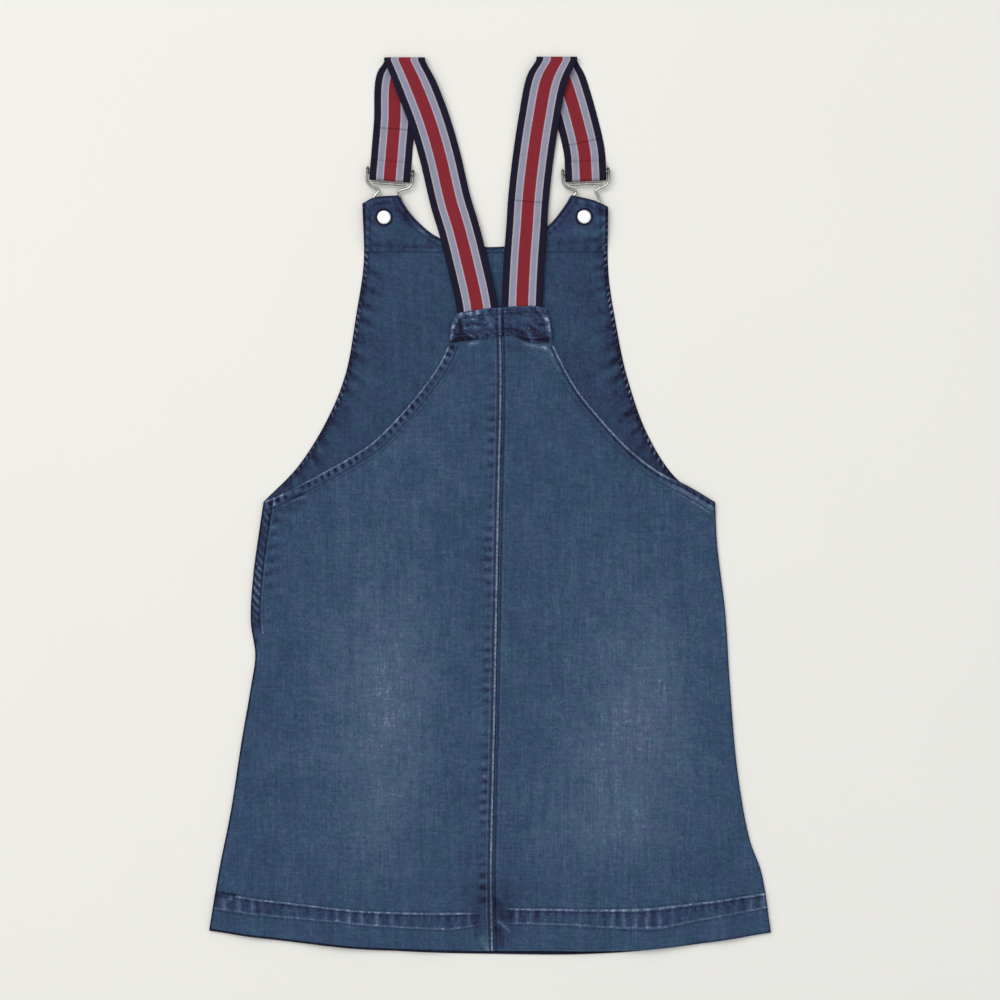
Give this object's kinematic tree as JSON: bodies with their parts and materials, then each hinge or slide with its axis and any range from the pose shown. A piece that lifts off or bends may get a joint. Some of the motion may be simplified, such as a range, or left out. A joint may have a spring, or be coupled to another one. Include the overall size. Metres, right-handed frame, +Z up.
{
  "type": "child's denim pinafore dress, laid flat back side up",
  "caption": "Flat denim pinafore dress, back up, with a bib on two webbing straps that end in wire buckles on riveted buttons.",
  "frame": {"origin": "on the surface that the dress lies on, under the middle of its box", "axes": "+X to the right seen from above with the straps away from the viewer, +Y from the hem to the straps, +Z up from the surface"},
  "size_m": [0.438, 0.6998, 0.0093],
  "materials": {
    "denim": "washed blue denim, matt, faded along its folds",
    "denim_inside": "inside of the denim bib, matt, darker",
    "tape": "woven tape in navy, grey and red stripes, slight sheen",
    "nickel": "bright nickel plate"
  },
  "bodies": {
    "root": {"front_panel": "denim_inside", "bib_facing": "denim_inside", "back_left": "denim", "back_right": "denim", "back_tab": "denim", "strap_left": "tape", "strap_right": "tape", "bar_left": "nickel", "bar_right": "nickel", "slide_left": "nickel", "slide_right": "nickel", "hook_left": "nickel", "hook_right": "nickel", "button_left": "nickel", "button_right": "nickel", "tack_left": "nickel", "tack_right": "nickel"}
  },
  "joints": []
}
